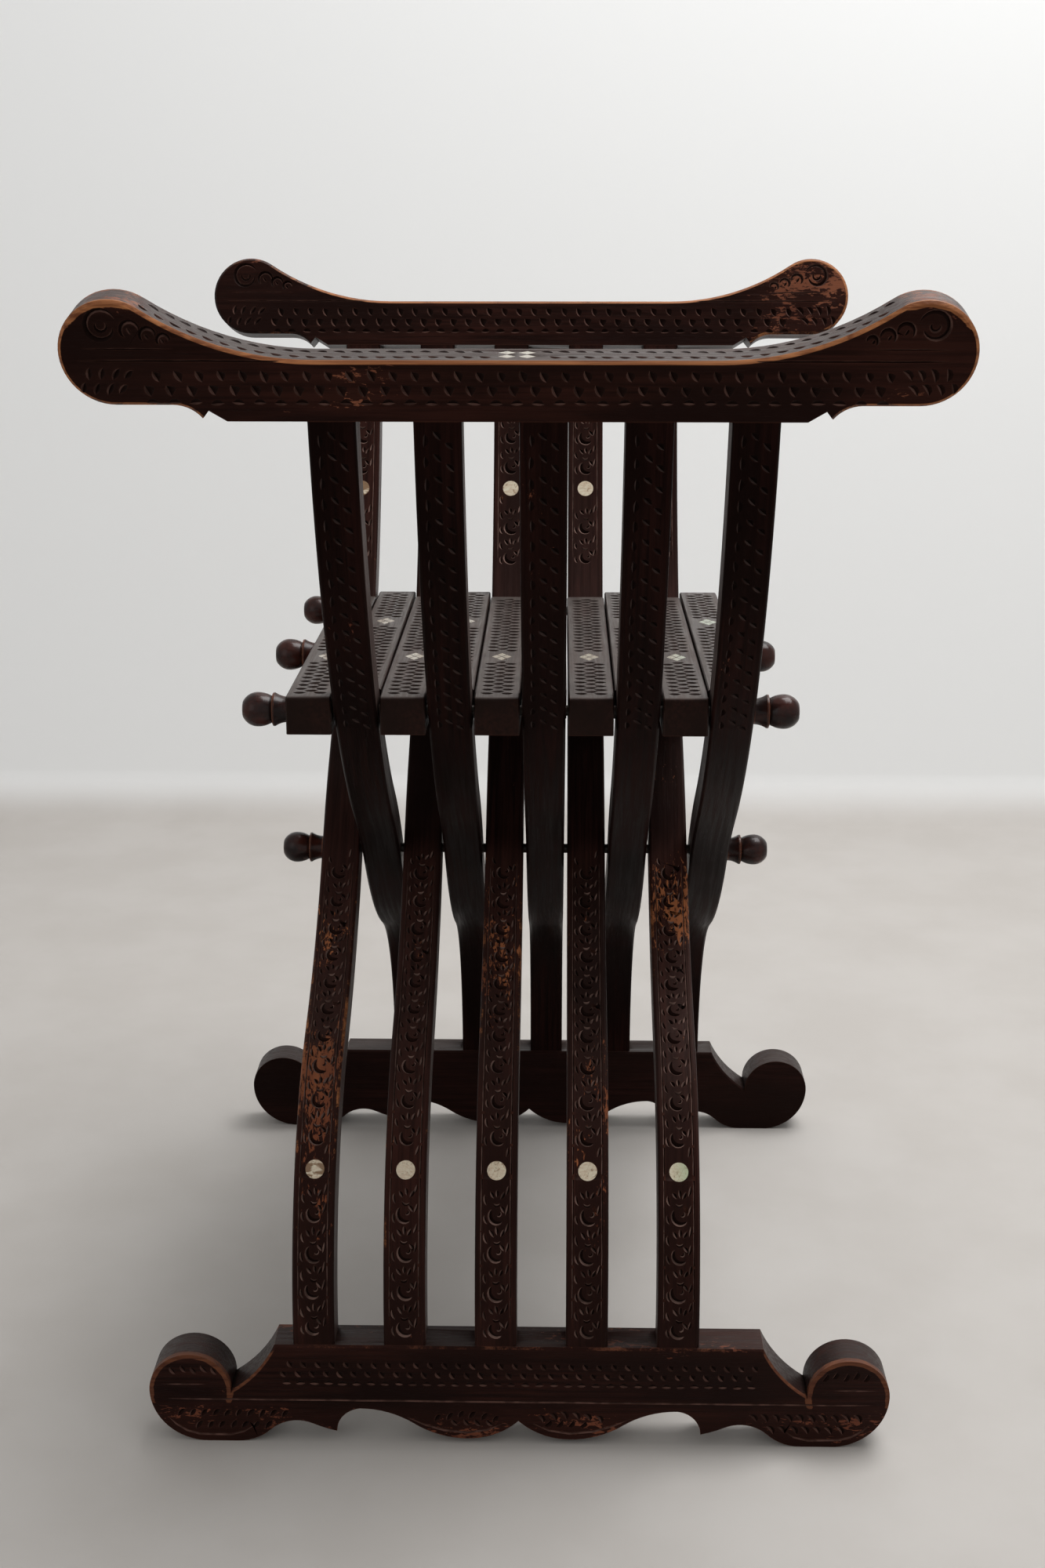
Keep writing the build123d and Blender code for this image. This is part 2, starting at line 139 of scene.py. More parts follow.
def slatPlace(side, index):
    return (index - (slatLine["count"] - 1) / 2) * slatLine["pitch"] - side * slatLine["pitch"] / 4


# Places. Each turns u across or along a face, v up it and w out of it into a point of the frame.
# A face to be carved is a pair: the tool that gathers its cuts, and its place.

def flatPlace(origin, across, up):
    out = across.cross(up)
    return lambda u, v, w: (origin + across * u + up * v + out * w) * mm


def slatFace(side, index, upper, facing):
    # Facing is 1 for a slat's upper face and -1 for its under face. v runs up from the half's lower end.
    half = upperHalf if upper else lowerHalf
    sign = 1 if upper else -1

    def place(u, v, w):
        reach, rise, lean = halfPoint(half, v if upper else half["length"] - v)
        shift = facing * (slatLine["depth"] / 2 + w)
        out = sign * reach - shift * sin(lean)
        height = slatLine["pivotHeight"] + sign * rise + shift * cos(lean)
        return Vector((slatPlace(side, index) + facing * side * u, side * out, height)) * mm

    return place


# Gouge cuts. A tool mesh gathers every cut that one piece gets, and one boolean makes them all.
# A cut's section is its width to the left and to the right of its path, and its depth.

cutting = {
    "seed": 11,
    "lift": 0.2,  # how far a cut's tool stands above the face
    "strokeSteps": 4,
    "lengthShare": 0.1,  # from here on, how much hand work varies
    "angle": 6,
    "place": 0.25,
    "depthShare": 0.15,
    "radiusShare": 0.08,
    "startAngle": 9,
}
chance = random.Random(cutting["seed"])

sloped = 1  # kinds of face: the two walls that a cut leaves, and a board's rounded rim
steep = 2
rim = 3


def newTool():
    return {"points": [], "faces": [], "kinds": []}


def jitter(amount):
    return chance.uniform(-amount, amount)


def gouge(face, path, section, taper=0.7):
    # A valley under this path, from tip to tip. A small taper keeps it wide until near its tips.
    tool, place = face
    leftWidth, rightWidth, depth = section
    last = len(path) - 1
    lift = cutting["lift"]
    headings = []
    for step in range(last + 1):
        before, after = path[max(step - 1, 0)], path[min(step + 1, last)]
        run = hypot(after[0] - before[0], after[1] - before[1])
        headings.append(((after[0] - before[0]) / run, (after[1] - before[1]) / run))

    def tip(end, toward):
        (x, y), (nearX, nearY) = path[end], path[toward]
        spread = lift / (depth * sin(pi / last) ** taper)
        return place(x + (x - nearX) * spread, y + (y - nearY) * spread, lift)

    points = [tip(0, 1)]
    for step in range(1, last):
        fullness = sin(pi * step / last) ** taper
        deep = depth * fullness
        grown = fullness * (1 + lift / deep)
        (x, y), (alongX, alongY) = path[step], headings[step]
        points.append(place(x - alongY * leftWidth * grown, y + alongX * leftWidth * grown, lift))
        points.append(place(x + alongY * rightWidth * grown, y - alongX * rightWidth * grown, lift))
        points.append(place(x, y, -deep))
    points.append(tip(last, last - 1))
    end = len(points) - 1
    sides = [(0, 2, 1), (0, 1, 3), (0, 3, 2)]
    for step in range(last - 2):
        a = 1 + 3 * step
        b = a + 3
        sides += [(a, a + 1, b + 1, b), (a, b, b + 2, a + 2), (a + 2, b + 2, b + 1, a + 1)]
    a = end - 3
    sides += [(end, a, a + 1), (a, end, a + 2), (a + 2, end, a + 1)]
    tool["kinds"] += [sloped, steep, sloped] * (len(sides) // 3)
    base = len(tool["points"])
    tool["points"] += points
    tool["faces"] += [tuple(base + corner for corner in corners) for corners in sides]


def arcPath(centre, length, angle, bend, steps):
    # Points of an arc whose middle is at centre and heads this way
    path = []
    for step in range(steps + 1):
        share = step / steps - 0.5
        if abs(bend) < 0.01:
            x, y = length * share, 0
        else:
            radius = length / bend
            x, y = radius * sin(bend * share), radius * (1 - cos(bend * share))
        path.append((
            centre[0] + x * cos(angle) - y * sin(angle),
            centre[1] + x * sin(angle) + y * cos(angle),
        ))
    return path


def stroke(face, centre, length, angle, bend, section):
    # One cut about this centre, with its heading and bend in degrees
    length *= 1 + jitter(cutting["lengthShare"])
    heading = radians(angle) + radians(jitter(cutting["angle"]))
    centre = (centre[0] + jitter(cutting["place"]), centre[1] + jitter(cutting["place"]))
    path = arcPath(centre, length, heading, radians(bend), cutting["strokeSteps"])
    leftWidth, rightWidth, depth = section
    gouge(face, path, (leftWidth, rightWidth, depth * (1 + jitter(cutting["depthShare"]))))


def ring(face, centre, radius, start, sweep, section, steps=9, endRadius=None):
    # A cut that runs round this centre, or curls in when it has an end radius
    radius *= 1 + jitter(cutting["radiusShare"])
    start += jitter(cutting["startAngle"])
    endRadius = endRadius or radius
    path = []
    for step in range(steps + 1):
        share = step / steps
        angle = radians(start + sweep * share)
        reach = radius + (endRadius - radius) * share
        path.append((centre[0] + reach * cos(angle), centre[1] + reach * sin(angle)))
    gouge(face, path, section, taper=0.45)


def scored(face, start, end, aside, width, depth, upright=False, spacing=14, waver=0.12):
    # A long scored line along a board, or up a slat, a little uneven
    count = max(2, int(abs(end - start) / spacing))
    path = []
    for step in range(count + 1):
        along, off = start + (end - start) * step / count, aside + jitter(waver)
        path.append((off, along) if upright else (along, off))
    gouge(face, path, (width / 2, width / 2, depth), taper=0.2)


# Boards. A carved piece is the CAD node's own form with its chamfers worn round and its cuts taken out.

rounded = {
    "weld": 2e-6,
    "chamferSlant": (0.3, 0.95),
    "chamferTurn": (30, 60),
    "squareTurn": (80, 100),
    "segments": 2,
    "sharpAngle": 24,
    "faceSlack": 0.02,
}


def between(value, limits):
    return limits[0] < value < limits[1]


def addToScene(name, data):
    thing = bpy.data.objects.new(name, data)
    bpy.context.scene.collection.objects.link(thing)
    return thing


def weldedCopy(nodeName, board):
    # A new piece in the CAD node's own form. Its rounded chamfers become its rims.
    mesh = bpy.data.meshes.new(nodeName + "_carved")
    form = bmesh.new()
    form.from_mesh(frame["nodes"][nodeName].data)
    bmesh.ops.remove_doubles(form, verts=form.verts, dist=rounded["weld"])

    def outThrough(point):
        return abs(point.dot(board["axis"]) / mm - board["middle"])

    for face in form.faces:
        slant = abs(face.normal.dot(board["axis"]))
        beyond = outThrough(face.calc_center_median()) > board["chamferFrom"]
        face.material_index = rim if between(slant, rounded["chamferSlant"]) and beyond else 0
    chosen = []
    for edge in form.edges:
        if len(edge.link_faces) == 2:
            kinds = {face.material_index for face in edge.link_faces}
            turn = degrees(edge.calc_face_angle())
            depth = min(outThrough(vertex.co) for vertex in edge.verts)
            onFace = depth > board["half"] - rounded["faceSlack"]
            onChamfer = kinds == {0, rim} and between(turn, rounded["chamferTurn"])
            onOutline = board.get("softOutline") and onFace and between(turn, rounded["squareTurn"])
            if onChamfer or onOutline:
                chosen.append(edge)
    bmesh.ops.bevel(
        form, geom=chosen, offset=board["rounding"] * mm, offset_type="OFFSET",
        segments=rounded["segments"], profile=0.5, affect="EDGES", clamp_overlap=True, material=rim,
    )
    form.to_mesh(mesh)
    form.free()
    return addToScene(nodeName + "_carved", mesh)


def takeOutCuts(piece, tool):
    cutMesh = bpy.data.meshes.new("cuts")
    cutMesh.from_pydata([tuple(point) for point in tool["points"]], [], tool["faces"])
    ownKinds = [polygon.material_index for polygon in piece.data.polygons]
    for mesh in (cutMesh, piece.data):
        for kind in range(rim + 1):
            mesh.materials.append(None)
    cutMesh.polygons.foreach_set("material_index", tool["kinds"])
    piece.data.polygons.foreach_set("material_index", ownKinds)
    cuts = addToScene("cuts", cutMesh)
    cutter = piece.modifiers.new("cuts", "BOOLEAN")
    cutter.operation = "DIFFERENCE"
    cutter.solver = "MANIFOLD"
    cutter.object = cuts
    graph = bpy.context.evaluated_depsgraph_get()
    result = bpy.data.meshes.new_from_object(piece.evaluated_get(graph))
    piece.modifiers.clear()
    piece.data = result
    bpy.data.objects.remove(cuts)


def addFloats(mesh, name, domain, values):
    mesh.attributes.new(name, "FLOAT", domain).data.foreach_set("value", values)


def carve(nodeName, tool, board, grainOf, wornOf, material):
    # The kinds of face, the grain and the wear are kept as attributes, which the wood's shader reads
    piece = weldedCopy(nodeName, board)
    takeOutCuts(piece, tool)
    mesh = piece.data
    kinds = [polygon.material_index for polygon in mesh.polygons]
    mesh.polygons.foreach_set("material_index", [0] * len(mesh.polygons))
    mesh.materials.clear()
    mesh.materials.append(material)
    for name, wanted in (("cut", (sloped, steep)), ("steep", (steep,)), ("rim", (rim,))):
        addFloats(mesh, name, "FACE", [1.0 if kind in wanted else 0.0 for kind in kinds])
    mesh.attributes.new("grain", "FLOAT_VECTOR", "POINT")
    for vertex, place in zip(mesh.vertices, mesh.attributes["grain"].data):
        place.vector = grainOf(vertex.co)
    wear = [wornOf(vertex.co / mm) for vertex in mesh.vertices]
    for part, name in enumerate(("worn", "bare")):
        addFloats(mesh, name, "POINT", [pair[part] for pair in wear])
    for polygon in mesh.polygons:
        polygon.use_smooth = True
    mesh.set_sharp_from_angle(angle=radians(rounded["sharpAngle"]))
    beside = {}
    for polygon, kind in zip(mesh.polygons, kinds):
        for corner in polygon.loop_indices:
            beside.setdefault(mesh.loops[corner].edge_index, set()).add(kind)
    for edge, found in beside.items():
        if len(found) > 1:
            mesh.edges[edge].use_edge_sharp = True
    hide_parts(nodeName)
    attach(piece, bodyOf[nodeName])


# Node helpers

def addNode(tree, kind, **settings):
    node = tree.nodes.new("ShaderNode" + kind)
    for name, value in settings.items():
        setattr(node, name, value)
    return node


def feed(node, inputs):
    # A number or colour is set on the input, and anything else is linked to it
    for label, source in inputs.items():
        target = node.inputs[label]
        if isinstance(source, (int, float, tuple)):
            target.default_value = source
        else:
            node.id_data.links.new(source, target)


def joined(kind, output, inputs, **settings):
    # A new node in the tree of the sockets that feed it
    tree = next(source.id_data for source in inputs.values() if isinstance(source, bpy.types.NodeSocket))
    node = addNode(tree, kind, **settings)
    feed(node, inputs)
    return node.outputs[output]


def calc(operation, first, second=0.0, clamp=False):
    return joined("Math", 0, {0: first, 1: second}, operation=operation, use_clamp=clamp)


def plus(first, second):
    return calc("ADD", first, second)


def minus(first, second):
    return calc("SUBTRACT", first, second)


def times(first, second):
    return calc("MULTIPLY", first, second)


def ramp(value, fromMin, fromMax, toMin=0.0, toMax=1.0):
    inputs = dict(enumerate((value, fromMin, fromMax, toMin, toMax)))
    return joined("MapRange", 0, inputs, interpolation_type="SMOOTHSTEP")


def mixColour(factor, first, second):
    return joined("Mix", 2, {0: factor, 6: first, 7: second}, data_type="RGBA")


def noise(vector, scale, detail=3.0, roughness=0.55, distortion=0.0):
    # The scale is in cells per metre, one for all directions or one for each
    scale = scale if isinstance(scale, tuple) else (scale,) * 3
    stretched = joined("VectorMath", 0, {0: vector, 1: scale}, operation="MULTIPLY")
    look = {"Scale": 1.0, "Detail": detail, "Roughness": roughness, "Distortion": distortion}
    return joined("TexNoise", "Fac", {"Vector": stretched, **look})


def objectPlace(tree):
    return addNode(tree, "TexCoord").outputs["Object"]


def splitVector(vector):
    node = addNode(vector.id_data, "SeparateXYZ")
    feed(node, {0: vector})
    return node.outputs


def surface(tree, output):
    return addNode(tree, "NewGeometry").outputs[output]


def addBump(shader, height, strength, distance):
    bump = {"Strength": strength, "Distance": distance, "Height": height}
    feed(shader, {"Normal": joined("Bump", "Normal", bump)})


def newGroup(name, inputs, outputs):
    tree = bpy.data.node_groups.new(name, "ShaderNodeTree")
    for label, value in inputs.items():
        kind = "NodeSocketVector" if value is None else "NodeSocketFloat"
        socket = tree.interface.new_socket(label, in_out="INPUT", socket_type=kind)
        if value is not None:
            socket.default_value = value
    for label in outputs:
        tree.interface.new_socket(label, in_out="OUTPUT", socket_type="NodeSocketFloat")
    return tree, tree.nodes.new("NodeGroupInput").outputs, tree.nodes.new("NodeGroupOutput")


def useGroup(tree, group, inputs):
    node = addNode(tree, "Group", node_tree=group)
    feed(node, inputs)
    return node.outputs


# Shared effects. An input with no value is a place.

def makeWoodGrain():
    cells = {"streak": (14.0, 420.0, 420.0), "pore": (90.0, 2600.0, 2600.0), "tone": (9.0, 34.0, 34.0)}
    tree, given, out = newGroup("woodGrain", {"Along": None}, ("Streak", "Pores", "Tone"))
    feed(out, {
        "Streak": ramp(noise(given["Along"], cells["streak"], 5.0, 0.6, 0.3), 0.3, 0.7),
        "Pores": ramp(noise(given["Along"], cells["pore"], 2.0), 0.60, 0.70),
        "Tone": ramp(noise(given["Along"], cells["tone"]), 0.35, 0.65),
    })
    return tree


def makeEdgeWear():
    # Rims that hands have rubbed bare, and edges rubbed a little.
    # Hollow corners are taken out by their occlusion.
    look = {"hollowReach": 0.003, "patch": 70.0, "fine": 900.0, "fineShare": 0.3}
    inputs = {"Place": None, "Radius": 0.0012, "Reach": 0.3, "Rim": 0.0, "Rim Reach": 0.5}
    tree, given, out = newGroup("edgeWear", inputs, ("Edge", "Rim", "Hollow"))
    bevel = joined("Bevel", "Normal", {"Radius": given["Radius"]}, samples=4)
    normals = {0: bevel, 1: surface(tree, "Normal")}
    turn = minus(1.0, joined("VectorMath", "Value", normals, operation="DOT_PRODUCT"))
    shade = addNode(tree, "AmbientOcclusion", samples=4, only_local=True)
    feed(shade, {"Distance": look["hollowReach"]})
    # The occlusion of the hollows, which the materials darken as dirt and painted shade
    hollow = minus(1.0, shade.outputs["AO"])
    patch = times(noise(given["Place"], look["patch"], 4.0, 0.65), 1 - look["fineShare"])
    fine = times(noise(given["Place"], look["fine"], 3.0, 0.6), look["fineShare"])
    patchy = minus(plus(patch, fine), 1.0)
    edge = times(turn, ramp(hollow, 0.35, 0.05))
    strength = plus(plus(times(edge, 3.0), patchy), given["Reach"])
    rubbedAndHighlight = ramp(plus(patchy, given["Rim Reach"]), -0.08, 0.08)
    feed(out, {
        "Edge": ramp(strength, 0.0, 0.22),
        "Rim": times(rubbedAndHighlight, given["Rim"]),
        "Hollow": ramp(hollow, 0.12, 0.6),
    })
    return tree


def makeFlakes():
    # Stain that has come off in patches along the grain
    cells = {"patch": (16.0, 42.0, 42.0), "chip": (190.0, 520.0, 520.0)}
    tree, given, out = newGroup("flakes", {"Along": None, "Amount": 0.5}, ("Flake",))
    patch = noise(given["Along"], cells["patch"], 3.0, 0.6)
    chip = noise(given["Along"], cells["chip"], 4.0, 0.65, 0.6)
    total = plus(times(patch, 1.1), times(chip, 1.1))
    total = plus(total, minus(given["Amount"], 1.68))
    feed(out, {"Flake": ramp(total, 0.0, 0.05)})
    return tree


def makeLobeWear():
    # How near a place is to the upper rim of a lobe, where hands or feet have worn it bare
    inputs = {
        "Along": 0.0, "Height": 0.0, "Lobe Along": 0.2, "Lobe Height": 0.03, "Lobe Radius": 0.03,
        "Fade From": 0.0, "Fade To": 0.02, "Inner Fade": -0.02, "Band": 0.005,
    }
    tree, given, out = newGroup("lobeWear", inputs, ("Worn",))
    aside = minus(calc("ABSOLUTE", given["Along"]), given["Lobe Along"])
    above = minus(given["Height"], given["Lobe Height"])
    squares = plus(calc("POWER", aside, 2.0), calc("POWER", above, 2.0))
    inside = minus(given["Lobe Radius"], calc("SQRT", squares))
    onLobe = ramp(inside, -0.0025, -0.0005)
    near = times(ramp(inside, given["Band"], 0.001), onLobe)
    near = times(near, ramp(above, given["Fade From"], given["Fade To"]))
    outward = ramp(aside, given["Inner Fade"], plus(given["Inner Fade"], 0.016))
    feed(out, {"Worn": times(near, outward)})
    return tree


# Dust on what lies level, which also serves as a painted sheen: level tops are greyed towards a pale tone
def makeSettledDustAndSheen():
    tree, given, out = newGroup("settledDustAndSheen", {"Place": None, "Amount": 0.5}, ("Dust And Sheen",))
    level = ramp(splitVector(surface(tree, "Normal"))["Z"], 0.55, 0.98)
    uneven = noise(given["Place"], 55.0, 4.0, 0.6)
    cover = times(level, ramp(uneven, 0.25, 0.75, 0.5, 1.0))
    feed(out, {"Dust And Sheen": times(cover, given["Amount"])})
    return tree


woodGrain = makeWoodGrain()
edgeWear = makeEdgeWear()
flakes = makeFlakes()
lobeWear = makeLobeWear()
settledDustAndSheen = makeSettledDustAndSheen()
print("shared effects made")


# Materials

def newMaterial(name):
    material = bpy.data.materials.new(name)
    material.use_nodes = True
    return material, material.node_tree, material.node_tree.nodes["Principled BSDF"]


def lobeBareness(tree, lobe, solidPlace, grainPlace, bare):
    # Torn patches of bare wood round a lobe's rim, on the board's two faces
    grainParts = splitVector(grainPlace)
    along = splitVector(solidPlace)["X"]
    worn = useGroup(tree, lobeWear, {"Along": along, "Height": grainParts["Z"], **lobe})["Worn"]
    nearFace = ramp(calc("ABSOLUTE", grainParts["Y"]), 0.0065, 0.0095)
    worth = times(times(worn, nearFace), bare)
    broken = noise(grainPlace, (60.0, 260.0, 260.0), 4.0, 0.6)
    torn = plus(times(worth, 1.1), minus(broken, 1.0))
    return ramp(torn, 0.0, 0.16)


def makeCarvedWood(name, look):
    material, tree, shader = newMaterial(name)
    grainPlace = addNode(tree, "Attribute", attribute_name="grain").outputs["Vector"]
    cut, steepWall, rimFace, worn, bare = [
        addNode(tree, "Attribute", attribute_name=label).outputs["Fac"]
        for label in ("cut", "steep", "rim", "worn", "bare")
    ]
    solidPlace = objectPlace(tree)
    grain = useGroup(tree, woodGrain, {"Along": grainPlace})
    wear = useGroup(tree, edgeWear, {
        "Place": solidPlace, "Radius": look["wearRadius"], "Reach": look["wearReach"],
        "Rim": rimFace, "Rim Reach": plus(times(bare, 0.3), look["rimReach"]),
    })

    # Stain, redder where it is worn, with a paler painted sheen on a slat's sides, standing in for light
    # glancing off them
    tone = times(grain["Tone"], grain["Streak"])
    reddened = calc("ADD", tone, times(worn, 0.5), clamp=True)
    stain = mixColour(reddened, look["stain"], look["redStain"])
    colour = mixColour(times(wear["Edge"], look["edgeStrength"]), stain, look["edgeTone"])
    facingX = calc("ABSOLUTE", splitVector(surface(tree, "Normal"))["X"])
    sideSheen = times(ramp(facingX, 0.9, 0.98, 0.0, look["side"]), minus(1.0, cut))
    colour = mixColour(sideSheen, colour, look["sideSheenTone"])

    # Flakes, which the cuts mostly keep out
    amount = plus(times(worn, look["wornFlakes"]), look["flakes"])
    flaked = useGroup(tree, flakes, {"Along": grainPlace, "Amount": amount})["Flake"]
    flakeFace = ramp(splitVector(grainPlace)["Z"], look["flakeFrom"], look["flakeTo"])
    loss = times(flaked, times(flakeFace, minus(1.0, times(cut, 0.85))))
    flakeTone = mixColour(grain["Tone"], look["flakeDark"], look["flakeTone"])
    colour = mixColour(times(loss, look["flakeStrength"]), colour, flakeTone)

    # Bare rims and lobes
    bareness = wear["Rim"]
    if "lobe" in look:
        lobeBare = lobeBareness(tree, look["lobe"], solidPlace, grainPlace, bare)
        bareness = calc("MAXIMUM", bareness, lobeBare)
    bareTone = mixColour(grain["Streak"], look["bareDark"], look["bare"])
    colour = mixColour(bareness, colour, bareTone)

    # Dust and a painted sheen on what lies level, dirt and painted shade in the hollows, and a painted
    # highlight on the steep wall of each cut
    dustSheen = useGroup(tree, settledDustAndSheen, {"Place": solidPlace, "Amount": look["dustSheen"]})["Dust And Sheen"]
    # Painted shade, partly dirt: hollows found by occlusion, and every cut face, are darkened
    dirtAndShade = calc("MAXIMUM", wear["Hollow"], times(cut, 0.8))
    colour = mixColour(times(dustSheen, minus(1.0, dirtAndShade)), colour, look["dustSheenColour"])
    colour = mixColour(times(dirtAndShade, 0.9), colour, look["dirtAndShade"])
    # Painted highlight: the steep wall of each cut is lightened unevenly, standing in for the light it
    # catches, and partly as rubbed wood
    glint = ramp(noise(solidPlace, 110.0, 2.0), 0.36, 0.64, 0.35, 1.0)
    paintedWallHighlight = times(times(steepWall, look["rubbedAndHighlight"]), glint)
    colour = mixColour(paintedWallHighlight, colour, look["wallHighlightTone"])

    lost = calc("MAXIMUM", bareness, loss, clamp=True)
    rough = ramp(grain["Streak"], 0.0, 1.0, look["gloss"], look["gloss"] + 0.16)
    for mask, rougher in ((lost, 0.12), (wear["Hollow"], 0.25), (cut, 0.06)):
        rough = plus(rough, times(mask, rougher))
    feed(shader, {
        "Base Color": colour, "Roughness": rough,
        "Specular IOR Level": look["shine"], "Specular Tint": look["shineTint"],
    })
    height = minus(times(grain["Streak"], 0.6), grain["Pores"])
    height = minus(height, times(loss, 1.2))
    addBump(shader, height, 0.35, 0.00025)
    return material


woodTones = {
    "stain": (0.0105, 0.0038, 0.0030, 1),
    "redStain": (0.032, 0.0098, 0.0070, 1),
    "bare": (0.37, 0.150, 0.060, 1),
    "bareDark": (0.14, 0.046, 0.019, 1),
    "flakeTone": (0.24, 0.085, 0.045, 1),
    "flakeDark": (0.12, 0.038, 0.022, 1),
    "edgeTone": (0.075, 0.028, 0.018, 1),
    # dirt, and painted shade, for the hollows and the cuts
    "dirtAndShade": (0.0035, 0.0018, 0.0015, 1),
    # dust, and a painted sheen, on what lies level
    "dustSheenColour": (0.16, 0.13, 0.115, 1),
    "gloss": 0.36,
    "shine": 0.28,
    "shineTint": (0.30, 0.17, 0.14, 1),
    "wearRadius": 0.0011,
    "wearReach": 0.32,
    "edgeStrength": 0.5,
    "rimReach": 0.42,
    "flakes": 0.20,
    "wornFlakes": 0.30,
    "flakeStrength": 0.85,
    "flakeFrom": -1.0,
    "flakeTo": -0.9,
    # strength and tone of the painted highlight on each cut's steep wall, partly rubbed wood
    "rubbedAndHighlight": 1.0,
    "wallHighlightTone": (0.115, 0.062, 0.050, 1),
    # amount of dust and painted sheen on what lies level
    "dustSheen": 0.15,
    # a painted sheen on a slat's sides, standing in for light glancing off them
    "side": 0.0,
    "sideSheenTone": (0.075, 0.052, 0.046, 1),
}
armLobe = {
    "Lobe Along": 0.1993, "Lobe Height": 0.0345, "Lobe Radius": 0.0265,
    "Fade From": 0.004, "Fade To": 0.018, "Inner Fade": -0.020, "Band": 0.0055,
}
footLobe = {
    "Lobe Along": 0.1928, "Lobe Height": 0.0335, "Lobe Radius": 0.024,
    "Fade From": -0.016, "Fade To": 0.0, "Inner Fade": -0.045, "Band": 0.0042,
}
armTones = dict(
    woodTones, rimReach=0.40, wearReach=0.34, dustSheen=0.24, lobe=armLobe,
    stain=(0.0078, 0.0030, 0.0025, 1), redStain=(0.026, 0.0082, 0.0058, 1),
)
nearFootTones = dict(
    woodTones, rimReach=0.34, flakes=0.15, wornFlakes=0.40, dustSheen=0.07, lobe=footLobe,
    flakeTone=(0.19, 0.062, 0.034, 1), bare=(0.14, 0.052, 0.026, 1), bareDark=(0.065, 0.023, 0.014, 1),
    stain=(0.0072, 0.0030, 0.0026, 1), redStain=(0.025, 0.0082, 0.0060, 1),
)
# The far foot: darker stain, few flakes and faint rims, painted shade for the shade it stands in
shadedFarFootTones = dict(
    woodTones, rimReach=0.20, flakes=0.02,
    stain=(0.006, 0.0028, 0.0024, 1), redStain=(0.018, 0.0062, 0.005, 1),
)
seatTones = dict(
    woodTones, wearReach=0.1, flakes=0.05, dustSheen=0.33, rimReach=0.3, rubbedAndHighlight=0.0,
    stain=(0.011, 0.007, 0.006, 1), redStain=(0.022, 0.010, 0.008, 1), dustSheenColour=(0.19, 0.165, 0.15, 1),
)
rightSlatTones = dict(
    woodTones, wearReach=0.22, flakes=0.12, rimReach=0.18, shine=0.07, dustSheen=0.05, side=0.6,
    wallHighlightTone=(0.055, 0.038, 0.034, 1),
    stain=(0.0058, 0.0027, 0.0023, 1), redStain=(0.017, 0.0060, 0.0048, 1),
)
leftSlatTones = dict(
    woodTones, wearReach=0.26, flakes=0.25, flakeFrom=0.004, flakeTo=0.009, rimReach=0.28,
    shine=0.15, dustSheen=0.05, side=0.5, wallHighlightTone=(0.19, 0.12, 0.10, 1),
    flakeTone=(0.40, 0.14, 0.055, 1), flakeDark=(0.18, 0.057, 0.028, 1),
    stain=(0.0128, 0.0058, 0.0049, 1), redStain=(0.036, 0.0132, 0.0102, 1),
)
armWood = makeCarvedWood("armWood", armTones)
footWood = {
    left: makeCarvedWood("nearFootWood", nearFootTones),
    right: makeCarvedWood("shadedFarFootWood", shadedFarFootTones),
}
slatWood = {
    right: makeCarvedWood("rightSlatWood", rightSlatTones),
    left: makeCarvedWood("leftSlatWood", leftSlatTones),
}
seatWood = makeCarvedWood("seatWood", seatTones)


def makeTurnedWood():
    tones = {
        "stain": (0.011, 0.0055, 0.005, 1),
        "red": (0.042, 0.012, 0.0085, 1),
        "bare": (0.22, 0.07, 0.03, 1),
        "dirtAndShade": (0.004, 0.0022, 0.002, 1),
    }
    material, tree, shader = newMaterial("turnedWood")
    place = objectPlace(tree)
    wear = useGroup(tree, edgeWear, {"Place": place, "Radius": 0.0014, "Reach": 0.34})
    patch = ramp(noise(place, 70.0, 4.0, 0.6), 0.38, 0.68)
    colour = mixColour(patch, tones["stain"], tones["red"])
    colour = mixColour(wear["Edge"], colour, tones["bare"])
    # Dirt and painted shade in the hollows that the occlusion finds
    colour = mixColour(wear["Hollow"], colour, tones["dirtAndShade"])
    feed(shader, {
        "Base Color": colour, "Roughness": ramp(patch, 0.0, 1.0, 0.30, 0.2),
        "Specular IOR Level": 0.15, "Coat Weight": 0.13, "Coat Roughness": 0.08,
    })
    turning = noise(place, (2400.0, 30.0, 30.0), 2.0)
    streak = useGroup(tree, woodGrain, {"Along": place})["Streak"]
    addBump(shader, plus(turning, streak), 0.25, 0.0002)
    return material


def makeIron():
    tones = {"clean": (0.05, 0.045, 0.042, 1), "rust": (0.06, 0.026, 0.014, 1)}
    material, tree, shader = newMaterial("rodIron")
    rust = ramp(noise(objectPlace(tree), 300.0, 5.0, 0.65), 0.45, 0.65)
    feed(shader, {
        "Base Color": mixColour(rust, tones["clean"], tones["rust"]),
        "Metallic": ramp(rust, 0.0, 1.0, 0.9, 0.2), "Roughness": ramp(rust, 0.0, 1.0, 0.42, 0.8),
    })
    addBump(shader, rust, 0.3, 0.0002)
    return material


